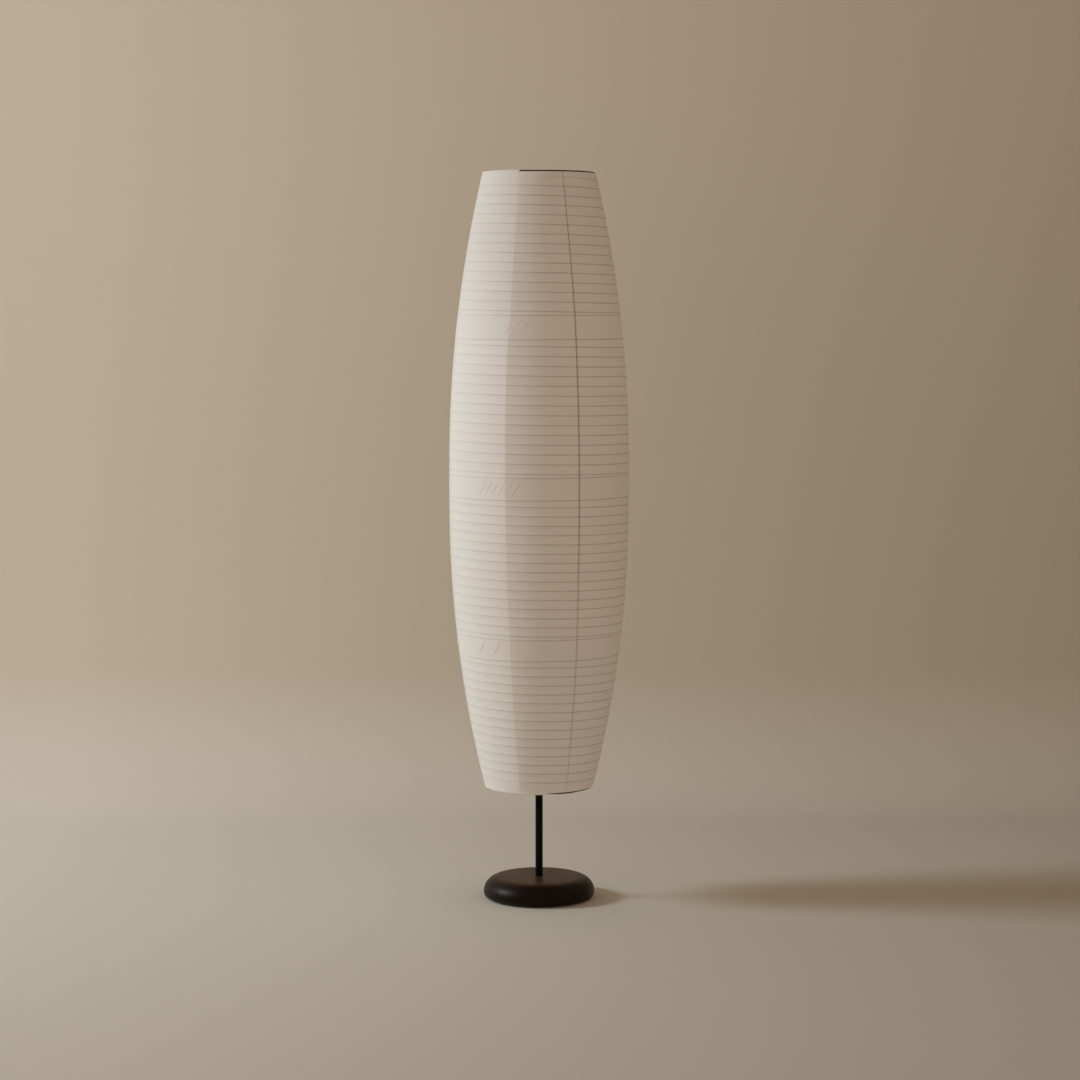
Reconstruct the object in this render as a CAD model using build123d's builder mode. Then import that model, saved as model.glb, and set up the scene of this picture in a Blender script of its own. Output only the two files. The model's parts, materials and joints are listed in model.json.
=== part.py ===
"""A floor lamp: a paper barrel shade over wire coils, on a thin pole with a low weighted base.

Millimetres. The origin is on the floor at the centre of the base, +Z is up and the front is -Y.
"""

from build123d import *
from math import cos, pi, radians, sin, sqrt
import os

os.makedirs("parts", exist_ok=True)

# Shade: outer sizes of the paper barrel
LAMP_HEIGHT = 1170.0
SHADE_FOOT_Z = 184.0
SHADE_TOP_RADIUS = 90.0
SHADE_BELLY_RADIUS = 144.0
SHADE_FOOT_RADIUS = 87.5
BELLY_LOW_Z = 640.0
BELLY_HIGH_Z = 705.0
PAPER_THICKNESS = 0.8
RIM_SHOW = 2.2

# Shade: wire coils, with plain paper bands between them
RIB_WIRE = 1.2
RIB_TURNS = (16.0, 15.5, 16.5, 16.0)
RIB_START_ANGLES = (0.0, 180.0, 180.0, 180.0)
RIB_EASE_SHARES = (0.9, 0.3)
RIB_ROOM = 3.2
BAND_CENTRES_Z = (925.0, 673.5, 419.0)
BAND_HEIGHTS = (38.5, 36.0, 34.5)

# Shade: rings, spokes and hubs
RING_WIRE = 4.0
SPOKE_WIRE = 3.0
SPOKE_ANGLES = (90.0, 210.0, 330.0)
TOP_HUB_DROP = 30.0
TOP_HUB_RADIUS = 13.0
TOP_HUB_THICKNESS = 2.0
ARM_WIRE = 4.0
ARM_TIP_WALL = 1.4
ARM_TIP_LENGTH = 14.0
POLE_HUB_WALL = 5.0
POLE_HUB_HEIGHT = 16.0
GRUB_DIAMETER = 4.0
GRUB_ANGLE = 30.0
GRUB_PROUD = 0.5
GRUB_SOCKET_ACROSS = 2.0
GRUB_SOCKET_DEPTH = 2.5

# Harp that carries the shade over the bulb, and its saddle and finial
HARP_WIRE = 4.0
HARP_HALF_WIDTH = 48.0
HARP_CORNER_RADIUS = 38.0
HARP_SHOULDER_RADIUS = 8.0
HARP_SHOULDER_HEIGHT = 6.0
STUD_DIAMETER = 6.0
STUD_LENGTH = 14.0
SADDLE_SHEET = 2.0
SADDLE_WIDTH = 14.0
SOCKET_WALL = 1.8
SOCKET_HEIGHT = 22.0
FINIAL_RADIUS = 9.0
FINIAL_NECK_RADIUS = 5.5
FINIAL_FLANGE_HEIGHT = 4.0
FINIAL_HEIGHT = 22.0
FINIAL_FLUTES = 12
FINIAL_FLUTE_RADIUS = 1.2

# Pole
POLE_DIAMETER = 12.0
POLE_WALL = 1.0
POLE_JOINT_Z = 420.0
POLE_TOP_Z = 600.0
NIPPLE_BORE = 7.0
NIPPLE_GRIP = 20.0

# Base
BASE_RADIUS = 90.0
BASE_TOP_Z = 35.5
BASE_RIM_Z = 1.0
BASE_HEEL_RADIUS = 10.0
BASE_LIP_WIDTH = 3.0
BASE_SHEET = 1.6
WEIGHT_INSET = 20.0
WEIGHT_THICKNESS = 19.0
WEIGHT_EDGE_FILLET = 6.0
PLATE_GAP = 2.0
PLATE_THICKNESS = 2.0
PAD_RADIUS = 7.0
PAD_THICKNESS = 3.0
PAD_COUNT = 6
PAD_INSET = 2.0
PAD_START_ANGLE = 90.0
BOSS_RADIUS = 6.0
BOSS_COUNT = 3
BOSS_INSET = 25.0
BOSS_START_ANGLE = 30.0
SCREW_DIAMETER = 3.0
SCREW_LENGTH = 10.0
SCREW_HEAD_RADIUS = 3.0
SCREW_HEAD_HEIGHT = 1.8
SCREW_SLOT_WIDTH = 0.8
SCREW_SLOT_DEPTH = 0.9
WASHER_RADIUS = 11.0
WASHER_THICKNESS = 1.5
NUT_ACROSS_FLATS = 15.0
NUT_THICKNESS = 6.0
NIPPLE_TAIL = 1.0

# Cord gland in the back of the base
GLAND_BORE = 7.0
GLAND_WALL = 0.9
GLAND_FLANGE_RADIUS = 6.5
GLAND_FLANGE_PROUD = 1.4
GLAND_LOCK_RADIUS = 5.6
GLAND_LOCK_THICKNESS = 2.5

# Lampholder
HOLDER_RADIUS = 19.5
HOLDER_WALL = 2.5
HOLDER_FLOOR = 4.0
HOLDER_CAP_HEIGHT = 28.0
HOLDER_CAP_FILLET = 8.0
HOLDER_SHELL_HEIGHT = 31.0
HOLDER_COLLAR_HEIGHT = 8.0
HOLDER_THREAD_RADIUS = 17.5
HOLDER_THREAD_RIDGES = 4
HOLDER_RIDGE_PITCH = 4.0
HOLDER_RIDGE_DEPTH = 1.0
INSERT_THICKNESS = 8.0
CONTACT_WIDTH = 6.0
CONTACT_THICKNESS = 0.6
CONTACT_REACH = 9.0
CONTACT_RISE = 4.0
WIRE_HOLE_RADIUS = 1.5
WIRE_HOLE_ANGLE = 90.0

# Bulb
BULB_CAP_RADIUS = 13.0
BULB_CAP_HEIGHT = 24.0
BULB_TIP_RADIUS = 5.0
BULB_TIP_HEIGHT = 3.0
BULB_NECK_RADIUS = 14.0
BULB_HOUSING_RADIUS = 23.0
BULB_HOUSING_HEIGHT = 28.0
BULB_GLOBE_RADIUS = 30.0
BULB_GLOBE_WALL = 1.5

# Clearances
SEAT_GAP = 0.3
FIT_GAP = 0.1
TURN_GAP = 0.08

# Heights and radii that follow from the sizes above
RING_RADIUS = RING_WIRE / 2
RIB_RADIUS = RIB_WIRE / 2
POLE_RADIUS = POLE_DIAMETER / 2
NIPPLE_RADIUS = POLE_RADIUS - POLE_WALL - FIT_GAP
TOP_RING_Z = LAMP_HEIGHT - RING_RADIUS
FOOT_RING_Z = SHADE_FOOT_Z + RING_RADIUS
PLATE_RADIUS = BASE_RADIUS - BASE_HEEL_RADIUS - BASE_LIP_WIDTH - PLATE_GAP
PLATE_TOP_Z = PAD_THICKNESS + PLATE_THICKNESS
PAD_CIRCLE_RADIUS = PLATE_RADIUS - PAD_RADIUS - PAD_INSET
WEIGHT_RADIUS = BASE_RADIUS - WEIGHT_INSET
BOSS_CIRCLE_RADIUS = WEIGHT_RADIUS - BOSS_INSET
WEIGHT_TOP_Z = BASE_TOP_Z - BASE_SHEET
WEIGHT_FOOT_Z = WEIGHT_TOP_Z - WEIGHT_THICKNESS
WASHER_FOOT_Z = WEIGHT_FOOT_Z - WASHER_THICKNESS
NUT_FOOT_Z = WASHER_FOOT_Z - NUT_THICKNESS
BASE_HEEL_Z = BASE_RIM_Z + BASE_HEEL_RADIUS
BASE_SHOULDER_RADIUS = BASE_TOP_Z - BASE_HEEL_Z
SADDLE_TOP_Z = POLE_TOP_Z + SADDLE_SHEET
HOLDER_JOINT_Z = SADDLE_TOP_Z + HOLDER_CAP_HEIGHT
BULB_TIP_Z = HOLDER_JOINT_Z + CONTACT_RISE + SEAT_GAP
BULB_CAP_Z = BULB_TIP_Z + BULB_TIP_HEIGHT
BULB_HOUSING_Z = BULB_CAP_Z + BULB_CAP_HEIGHT
BULB_GLOBE_Z = BULB_HOUSING_Z + BULB_HOUSING_HEIGHT
TOP_HUB_Z = TOP_RING_Z - TOP_HUB_DROP
FINIAL_Z = TOP_HUB_Z + TOP_HUB_THICKNESS


def arc_radius(rise, sag):
    """Radius of the arc that leaves the belly upright and draws in by sag over that rise."""
    return (rise**2 + sag**2) / (2 * sag)


UPPER_ARC = arc_radius(LAMP_HEIGHT - BELLY_HIGH_Z, SHADE_BELLY_RADIUS - SHADE_TOP_RADIUS)
LOWER_ARC = arc_radius(BELLY_LOW_Z - SHADE_FOOT_Z, SHADE_BELLY_RADIUS - SHADE_FOOT_RADIUS)


def shade_radius(z):
    """Outer radius of the paper at a height."""
    if z > BELLY_HIGH_Z:
        return SHADE_BELLY_RADIUS - UPPER_ARC + sqrt(UPPER_ARC**2 - (z - BELLY_HIGH_Z) ** 2)
    if z < BELLY_LOW_Z:
        return SHADE_BELLY_RADIUS - LOWER_ARC + sqrt(LOWER_ARC**2 - (BELLY_LOW_Z - z) ** 2)
    return SHADE_BELLY_RADIUS


def wire_radius(z, wire):
    """Radius of a wire's centre line, lying just inside the paper at a height."""
    return shade_radius(z) - PAPER_THICKNESS - SEAT_GAP - wire / 2


TOP_RING_R = wire_radius(TOP_RING_Z, RING_WIRE)
FOOT_RING_R = wire_radius(FOOT_RING_Z, RING_WIRE)


def polar(radius, angle, z):
    """Point at a radius, an angle in degrees from +X, and a height."""
    return Vector(radius * cos(radians(angle)), radius * sin(radians(angle)), z)


def keep(piece, name):
    """Name a finished piece and write it."""
    piece.label = name
    export_step(piece, f"parts/{name}.step")


# Base cover: spun sheet with a flat top, a round shoulder and a heel rolled in to a lip
with BuildPart() as base_cover:
    with BuildSketch(Plane.XZ):
        with BuildLine() as cover_line:
            top_edge = (BASE_RADIUS - BASE_SHOULDER_RADIUS, BASE_TOP_Z)
            heel_edge = (BASE_RADIUS - BASE_HEEL_RADIUS, BASE_RIM_Z)
            Line((NIPPLE_RADIUS + FIT_GAP, BASE_TOP_Z), top_edge)
            TangentArc(top_edge, (BASE_RADIUS, BASE_HEEL_Z), tangent=(1, 0))
            TangentArc((BASE_RADIUS, BASE_HEEL_Z), heel_edge, tangent=(0, -1))
            Line(heel_edge, (heel_edge[0] - BASE_LIP_WIDTH, BASE_RIM_Z))
            offset(amount=BASE_SHEET, side=Side.RIGHT)
        make_face()
    revolve(axis=Axis.Z)
    with BuildSketch(Plane.XZ.offset(-BASE_RADIUS + BASE_HEEL_RADIUS)):
        with Locations((0, BASE_HEEL_Z)):
            Circle(GLAND_BORE / 2 + GLAND_WALL + FIT_GAP)
    extrude(amount=-2 * BASE_HEEL_RADIUS, mode=Mode.SUBTRACT)
keep(base_cover.part, "base_cover")

# Base weight: cast disc with three bosses for the plate's screws
with BuildPart() as base_weight:
    with BuildSketch(Plane.XY.offset(WEIGHT_FOOT_Z)):
        Circle(WEIGHT_RADIUS)
    extrude(amount=WEIGHT_THICKNESS)
    fillet(base_weight.edges().group_by(Axis.Z)[-1], WEIGHT_EDGE_FILLET)
    with BuildSketch(Plane.XY.offset(WEIGHT_FOOT_Z)):
        with PolarLocations(BOSS_CIRCLE_RADIUS, BOSS_COUNT, BOSS_START_ANGLE):
            Circle(BOSS_RADIUS)
    extrude(amount=PLATE_TOP_Z - WEIGHT_FOOT_Z)
    with BuildSketch(Plane.XY.offset(WEIGHT_FOOT_Z)):
        Circle(NIPPLE_RADIUS + FIT_GAP)
    extrude(amount=WEIGHT_THICKNESS, mode=Mode.SUBTRACT)
    with BuildSketch(Plane.XY.offset(PLATE_TOP_Z)):
        with PolarLocations(BOSS_CIRCLE_RADIUS, BOSS_COUNT, BOSS_START_ANGLE):
            Circle(SCREW_DIAMETER / 2 + FIT_GAP)
    extrude(amount=SCREW_LENGTH, mode=Mode.SUBTRACT)
keep(base_weight.part, "base_weight")

# Base plate: closes the base from below, inside the rolled lip
with BuildPart() as base_plate:
    with BuildSketch(Plane.XY.offset(PAD_THICKNESS)):
        Circle(PLATE_RADIUS)
        with PolarLocations(BOSS_CIRCLE_RADIUS, BOSS_COUNT, BOSS_START_ANGLE):
            Circle(SCREW_DIAMETER / 2 + FIT_GAP, mode=Mode.SUBTRACT)
    extrude(amount=PLATE_THICKNESS)
keep(base_plate.part, "base_plate")

# Base screws: slotted pan heads, driven up into the weight's bosses
with BuildPart() as base_screws:
    with BuildSketch(Plane.XY.offset(PAD_THICKNESS)):
        with PolarLocations(BOSS_CIRCLE_RADIUS, BOSS_COUNT, BOSS_START_ANGLE):
            Circle(SCREW_HEAD_RADIUS)
            Rectangle(2 * SCREW_HEAD_RADIUS, SCREW_SLOT_WIDTH, mode=Mode.SUBTRACT)
    extrude(amount=-SCREW_HEAD_HEIGHT)
    with BuildSketch(Plane.XY.offset(PAD_THICKNESS)):
        with PolarLocations(BOSS_CIRCLE_RADIUS, BOSS_COUNT, BOSS_START_ANGLE):
            Circle(SCREW_HEAD_RADIUS)
    extrude(amount=SCREW_SLOT_DEPTH - SCREW_HEAD_HEIGHT)
    with BuildSketch(Plane.XY.offset(PAD_THICKNESS)):
        with PolarLocations(BOSS_CIRCLE_RADIUS, BOSS_COUNT, BOSS_START_ANGLE):
            Circle(SCREW_DIAMETER / 2)
    extrude(amount=SCREW_LENGTH)
keep(base_screws.part, "base_screws")

# Foot pads: the lamp stands on these
with BuildPart() as foot_pads:
    with BuildSketch(Plane.XY):
        with PolarLocations(PAD_CIRCLE_RADIUS, PAD_COUNT, PAD_START_ANGLE):
            Circle(PAD_RADIUS)
    extrude(amount=PAD_THICKNESS)
keep(foot_pads.part, "foot_pads")

# Cord gland: a bush through the back of the cover, with a flange that follows the rounded edge
with BuildPart() as cord_gland:
    gland_face_y = BASE_RADIUS + GLAND_FLANGE_PROUD
    gland_lock_y = BASE_RADIUS - BASE_SHEET - BASE_HEEL_RADIUS / 4
    with BuildSketch(Plane.XZ.offset(-gland_face_y)):
        with Locations((0, BASE_HEEL_Z)):
            Circle(GLAND_FLANGE_RADIUS)
    extrude(amount=BASE_HEEL_RADIUS / 2)
    with BuildSketch(Plane.XZ):
        with BuildLine():
            top_edge = (BASE_RADIUS - BASE_SHOULDER_RADIUS, BASE_TOP_Z + SEAT_GAP)
            side_edge = (BASE_RADIUS + SEAT_GAP, BASE_HEEL_Z)
            heel_edge = (BASE_RADIUS - BASE_HEEL_RADIUS, BASE_RIM_Z - SEAT_GAP)
            TangentArc(top_edge, side_edge, tangent=(1, 0))
            TangentArc(side_edge, heel_edge, tangent=(0, -1))
            Line(heel_edge, (top_edge[0], heel_edge[1]))
            Line((top_edge[0], heel_edge[1]), top_edge)
        make_face()
    revolve(axis=Axis.Z, mode=Mode.SUBTRACT)
    with BuildSketch(Plane.XZ.offset(-gland_face_y)):
        with Locations((0, BASE_HEEL_Z)):
            Circle(GLAND_BORE / 2 + GLAND_WALL)
    extrude(amount=gland_face_y - gland_lock_y)
    with BuildSketch(Plane.XZ.offset(-gland_lock_y)):
        with Locations((0, BASE_HEEL_Z)):
            Circle(GLAND_LOCK_RADIUS)
    extrude(amount=GLAND_LOCK_THICKNESS)
    with BuildSketch(Plane.XZ.offset(-gland_face_y)):
        with Locations((0, BASE_HEEL_Z)):
            Circle(GLAND_BORE / 2)
    extrude(amount=BASE_RADIUS / 2, mode=Mode.SUBTRACT)
keep(cord_gland.part, "cord_gland")


def tube(name, foot_z, top_z, outer_radius, bore_radius):
    """An upright round tube on the lamp's axis."""
    with BuildPart() as piece:
        with BuildSketch(Plane.XY.offset(foot_z)):
            Circle(outer_radius)
            Circle(bore_radius, mode=Mode.SUBTRACT)
        extrude(amount=top_z - foot_z)
    keep(piece.part, name)


# Clamp under the weight, and the pole with its hollow joining studs
tube("base_nipple", NUT_FOOT_Z - NIPPLE_TAIL, BASE_TOP_Z + NIPPLE_GRIP, NIPPLE_RADIUS, NIPPLE_BORE / 2)
tube("base_washer", WASHER_FOOT_Z, WEIGHT_FOOT_Z, WASHER_RADIUS, NIPPLE_RADIUS + FIT_GAP)
tube("lower_pole", BASE_TOP_Z, POLE_JOINT_Z, POLE_RADIUS, POLE_RADIUS - POLE_WALL)
joiner_foot_z = POLE_JOINT_Z - NIPPLE_GRIP
joiner_top_z = POLE_JOINT_Z + NIPPLE_GRIP
tube("pole_joiner", joiner_foot_z, joiner_top_z, NIPPLE_RADIUS, NIPPLE_BORE / 2)
tube("upper_pole", POLE_JOINT_Z, POLE_TOP_Z, POLE_RADIUS, POLE_RADIUS - POLE_WALL)
nipple_top_z = SADDLE_TOP_Z + HOLDER_FLOOR + NIPPLE_TAIL
tube("top_nipple", POLE_TOP_Z - NIPPLE_GRIP, nipple_top_z, NIPPLE_RADIUS, NIPPLE_BORE / 2)

# Base nut: hexagon on the nipple's tail
with BuildPart() as base_nut:
    with BuildSketch(Plane.XY.offset(NUT_FOOT_Z)):
        RegularPolygon(NUT_ACROSS_FLATS / 2, 6, major_radius=False)
        Circle(NIPPLE_RADIUS + FIT_GAP, mode=Mode.SUBTRACT)
    extrude(amount=NUT_THICKNESS)
keep(base_nut.part, "base_nut")

# Lower spider: a sleeve on the pole with three arms that keep the lower ring central
arm_tip_r = FOOT_RING_R - RING_RADIUS - SEAT_GAP
arm_end_r = arm_tip_r - ARM_TIP_WALL - FIT_GAP
pole_hub_r = POLE_RADIUS + POLE_HUB_WALL
arm_root_r = POLE_RADIUS + POLE_HUB_WALL / 2
arm_planes = [Plane(polar(arm_root_r, a, FOOT_RING_Z), z_dir=polar(1, a, 0)) for a in SPOKE_ANGLES]
with BuildPart() as lower_spider:
    with BuildSketch(*arm_planes):
        Circle(ARM_WIRE / 2)
    extrude(amount=arm_end_r - arm_root_r)
    with BuildSketch(Plane.XY.offset(FOOT_RING_Z - POLE_HUB_HEIGHT / 2)):
        Circle(pole_hub_r)
    extrude(amount=POLE_HUB_HEIGHT)
    with BuildSketch(Plane.XY.offset(FOOT_RING_Z - POLE_HUB_HEIGHT / 2)):
        Circle(POLE_RADIUS + FIT_GAP)
    extrude(amount=POLE_HUB_HEIGHT, mode=Mode.SUBTRACT)
    with BuildSketch(Plane(polar(0, 0, FOOT_RING_Z), z_dir=polar(1, GRUB_ANGLE, 0))):
        Circle(GRUB_DIAMETER / 2 + FIT_GAP)
    extrude(amount=pole_hub_r, mode=Mode.SUBTRACT)
keep(lower_spider.part, "lower_spider")

# Arm tips: rubber caps on the ends of the arms
tip_planes = [Plane(polar(arm_tip_r, a, FOOT_RING_Z), z_dir=polar(-1, a, 0)) for a in SPOKE_ANGLES]
with BuildPart() as arm_tips:
    with BuildSketch(*tip_planes):
        Circle(ARM_WIRE / 2 + FIT_GAP + ARM_TIP_WALL)
    extrude(amount=ARM_TIP_LENGTH)
    with BuildSketch(*[plane.offset(ARM_TIP_WALL) for plane in tip_planes]):
        Circle(ARM_WIRE / 2 + FIT_GAP)
    extrude(amount=ARM_TIP_LENGTH, mode=Mode.SUBTRACT)
keep(arm_tips.part, "arm_tips")

# Grub screw: socket set screw that locks the sleeve to the pole
with BuildPart() as grub_screw:
    grub_head_r = pole_hub_r + GRUB_PROUD
    grub_plane = Plane(polar(grub_head_r, GRUB_ANGLE, FOOT_RING_Z), z_dir=polar(-1, GRUB_ANGLE, 0))
    with BuildSketch(grub_plane):
        Circle(GRUB_DIAMETER / 2)
    extrude(amount=grub_head_r - POLE_RADIUS - FIT_GAP)
    with BuildSketch(grub_plane):
        RegularPolygon(GRUB_SOCKET_ACROSS / 2, 6, major_radius=False)
    extrude(amount=GRUB_SOCKET_DEPTH, mode=Mode.SUBTRACT)
keep(grub_screw.part, "grub_screw")

# Bottom ring: hangs in the shade's lower edge
with BuildPart() as bottom_ring:
    with BuildSketch(Plane.XZ):
        with Locations((FOOT_RING_R, FOOT_RING_Z)):
            Circle(RING_RADIUS)
    revolve(axis=Axis.Z)
keep(bottom_ring.part, "bottom_ring")

# Top spider: ring in the shade's upper edge, with three spokes down to a hub
spoke_rise = TOP_RING_Z - TOP_HUB_Z - TOP_HUB_THICKNESS / 2
spoke_run = TOP_RING_R - TOP_HUB_RADIUS + SPOKE_WIRE / 2
spoke_planes = [
    Plane(polar(TOP_RING_R, a, TOP_RING_Z), z_dir=polar(-spoke_run, a, -spoke_rise)) for a in SPOKE_ANGLES
]
with BuildPart() as top_spider:
    with BuildSketch(Plane.XZ):
        with Locations((TOP_RING_R, TOP_RING_Z)):
            Circle(RING_RADIUS)
    revolve(axis=Axis.Z)
    with BuildSketch(*spoke_planes):
        Circle(SPOKE_WIRE / 2)
    extrude(amount=sqrt(spoke_run**2 + spoke_rise**2))
    with BuildSketch(Plane.XY.offset(TOP_HUB_Z)):
        Circle(TOP_HUB_RADIUS)
    extrude(amount=TOP_HUB_THICKNESS)
    with BuildSketch(Plane.XY.offset(TOP_HUB_Z)):
        Circle(STUD_DIAMETER / 2 + FIT_GAP)
    extrude(amount=TOP_HUB_THICKNESS, mode=Mode.SUBTRACT)
keep(top_spider.part, "top_spider")

# Harp saddle: cross strip clamped on the pole's end, with a socket for each leg of the harp
with BuildPart() as harp_saddle:
    socket_radius = HARP_WIRE / 2 + FIT_GAP + SOCKET_WALL
    with BuildSketch(Plane.XY.offset(POLE_TOP_Z)):
        SlotCenterToCenter(2 * HARP_HALF_WIDTH, SADDLE_WIDTH)
        Circle(NIPPLE_RADIUS + FIT_GAP, mode=Mode.SUBTRACT)
    extrude(amount=SADDLE_SHEET)
    with BuildSketch(Plane.XY.offset(SADDLE_TOP_Z)):
        with Locations((-HARP_HALF_WIDTH, 0), (HARP_HALF_WIDTH, 0)):
            Circle(socket_radius)
            Circle(HARP_WIRE / 2 + FIT_GAP, mode=Mode.SUBTRACT)
    extrude(amount=SOCKET_HEIGHT)
keep(harp_saddle.part, "harp_saddle")

# Harp: one bent wire with a shouldered stud at the top
with BuildPart() as harp:
    harp_top_z = TOP_HUB_Z - HARP_SHOULDER_HEIGHT + HARP_WIRE / 2
    with BuildLine() as harp_line:
        FilletPolyline(
            (-HARP_HALF_WIDTH, 0, SADDLE_TOP_Z),
            (-HARP_HALF_WIDTH, 0, harp_top_z),
            (HARP_HALF_WIDTH, 0, harp_top_z),
            (HARP_HALF_WIDTH, 0, SADDLE_TOP_Z),
            radius=HARP_CORNER_RADIUS,
        )
    with BuildSketch(Plane((-HARP_HALF_WIDTH, 0, SADDLE_TOP_Z))):
        Circle(HARP_WIRE / 2)
    sweep(path=harp_line.line)
    with BuildSketch(Plane.XY.offset(TOP_HUB_Z - HARP_SHOULDER_HEIGHT)):
        Circle(HARP_SHOULDER_RADIUS)
    extrude(amount=HARP_SHOULDER_HEIGHT)
    with BuildSketch(Plane.XY.offset(TOP_HUB_Z)):
        Circle(STUD_DIAMETER / 2)
    extrude(amount=STUD_LENGTH)
keep(harp.part, "harp")

# Finial: fluted thumb nut on the harp's stud
with BuildPart() as finial:
    with BuildSketch(Plane.XZ):
        with BuildLine():
            flange_top = FINIAL_Z + FINIAL_FLANGE_HEIGHT
            finial_top = FINIAL_Z + FINIAL_HEIGHT
            dome_foot = finial_top - FINIAL_NECK_RADIUS
            Polyline(
                (0, finial_top),
                (0, FINIAL_Z),
                (FINIAL_RADIUS, FINIAL_Z),
                (FINIAL_RADIUS, flange_top),
                (FINIAL_NECK_RADIUS, flange_top),
                (FINIAL_NECK_RADIUS, dome_foot),
            )
            TangentArc((FINIAL_NECK_RADIUS, dome_foot), (0, finial_top), tangent=(0, 1))
        make_face()
    revolve(axis=Axis.Z)
    with BuildSketch(Plane.XY.offset(FINIAL_Z)):
        with PolarLocations(FINIAL_RADIUS, FINIAL_FLUTES):
            Circle(FINIAL_FLUTE_RADIUS)
    extrude(amount=FINIAL_FLANGE_HEIGHT, mode=Mode.SUBTRACT)
    with BuildSketch(Plane.XY.offset(FINIAL_Z)):
        Circle(STUD_DIAMETER / 2 + TURN_GAP)
    extrude(amount=STUD_LENGTH - TOP_HUB_THICKNESS + SEAT_GAP, mode=Mode.SUBTRACT)
keep(finial.part, "finial")

# Lampholder cap: cup that screws on the pole's top nipple
with BuildPart() as lampholder_cap:
    with BuildSketch(Plane.XY.offset(SADDLE_TOP_Z)):
        Circle(HOLDER_RADIUS)
    extrude(amount=HOLDER_CAP_HEIGHT)
    fillet(lampholder_cap.edges().group_by(Axis.Z)[0], HOLDER_CAP_FILLET)
    with BuildSketch(Plane.XY.offset(HOLDER_JOINT_Z - INSERT_THICKNESS)):
        Circle(HOLDER_RADIUS - HOLDER_WALL)
    extrude(amount=INSERT_THICKNESS, mode=Mode.SUBTRACT)
    with BuildSketch(Plane.XY.offset(SADDLE_TOP_Z + HOLDER_FLOOR)):
        Circle(HOLDER_RADIUS - 2 * HOLDER_WALL)
    extrude(amount=HOLDER_CAP_HEIGHT, mode=Mode.SUBTRACT)
    with BuildSketch(Plane.XY.offset(SADDLE_TOP_Z)):
        Circle(NIPPLE_RADIUS + FIT_GAP)
    extrude(amount=HOLDER_FLOOR, mode=Mode.SUBTRACT)
keep(lampholder_cap.part, "lampholder_cap")

# Lampholder insert: the ceramic disc on the cap's inner ledge, with two wire holes
with BuildPart() as lampholder_insert:
    with BuildSketch(Plane.XY.offset(HOLDER_JOINT_Z - INSERT_THICKNESS)):
        Circle(HOLDER_RADIUS - HOLDER_WALL - FIT_GAP)
        with PolarLocations(CONTACT_REACH, 2, WIRE_HOLE_ANGLE):
            Circle(WIRE_HOLE_RADIUS, mode=Mode.SUBTRACT)
    extrude(amount=INSERT_THICKNESS)
keep(lampholder_insert.part, "lampholder_insert")

# Lampholder shell: threaded sleeve with a plain collar at its foot
with BuildPart() as lampholder_shell:
    with BuildSketch(Plane.XY.offset(HOLDER_JOINT_Z)):
        Circle(HOLDER_RADIUS)
    extrude(amount=HOLDER_COLLAR_HEIGHT)
    with BuildSketch(Plane.XY.offset(HOLDER_JOINT_Z)):
        Circle(HOLDER_THREAD_RADIUS - HOLDER_RIDGE_DEPTH)
    extrude(amount=HOLDER_SHELL_HEIGHT)
    for ridge in range(HOLDER_THREAD_RIDGES):
        ridge_z = HOLDER_JOINT_Z + HOLDER_COLLAR_HEIGHT + (ridge + 0.5) * HOLDER_RIDGE_PITCH
        with BuildSketch(Plane.XY.offset(ridge_z)):
            Circle(HOLDER_THREAD_RADIUS)
        extrude(amount=HOLDER_RIDGE_PITCH / 2)
    with BuildSketch(Plane.XY.offset(HOLDER_JOINT_Z)):
        Circle(BULB_CAP_RADIUS + SEAT_GAP)
    extrude(amount=HOLDER_SHELL_HEIGHT, mode=Mode.SUBTRACT)
keep(lampholder_shell.part, "lampholder_shell")

# Centre contact: a sprung brass leaf under the bulb's tip
with BuildPart() as centre_contact:
    with BuildSketch(Plane.XZ.offset(-CONTACT_WIDTH / 2)):
        with BuildLine():
            Polyline(
                (CONTACT_REACH, HOLDER_JOINT_Z),
                (-CONTACT_REACH / 2, HOLDER_JOINT_Z),
                (0, HOLDER_JOINT_Z + CONTACT_RISE),
                (CONTACT_REACH / 4, HOLDER_JOINT_Z + CONTACT_RISE),
            )
            offset(amount=CONTACT_THICKNESS, side=Side.RIGHT)
        make_face()
    extrude(amount=CONTACT_WIDTH)
keep(centre_contact.part, "centre_contact")

# Bulb cap: screw cap with a stepped tip
with BuildPart() as bulb_cap:
    with BuildSketch(Plane.XZ):
        with BuildLine():
            Polyline(
                (0, BULB_TIP_Z),
                (BULB_TIP_RADIUS, BULB_TIP_Z),
                (BULB_CAP_RADIUS, BULB_CAP_Z),
                (BULB_CAP_RADIUS, BULB_HOUSING_Z),
                (0, BULB_HOUSING_Z),
                close=True,
            )
        make_face()
    revolve(axis=Axis.Z)
keep(bulb_cap.part, "bulb_cap")

# Bulb housing: the flared driver housing over the cap
with BuildPart() as bulb_housing:
    with BuildSketch(Plane.XZ):
        with BuildLine():
            Polyline(
                (BULB_HOUSING_RADIUS, BULB_GLOBE_Z),
                (0, BULB_GLOBE_Z),
                (0, BULB_HOUSING_Z),
                (BULB_NECK_RADIUS, BULB_HOUSING_Z),
            )
            neck_edge = (BULB_NECK_RADIUS, BULB_HOUSING_Z)
            TangentArc(neck_edge, (BULB_HOUSING_RADIUS, BULB_GLOBE_Z), tangent=(0, 1))
        make_face()
    revolve(axis=Axis.Z)
keep(bulb_housing.part, "bulb_housing")

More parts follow.
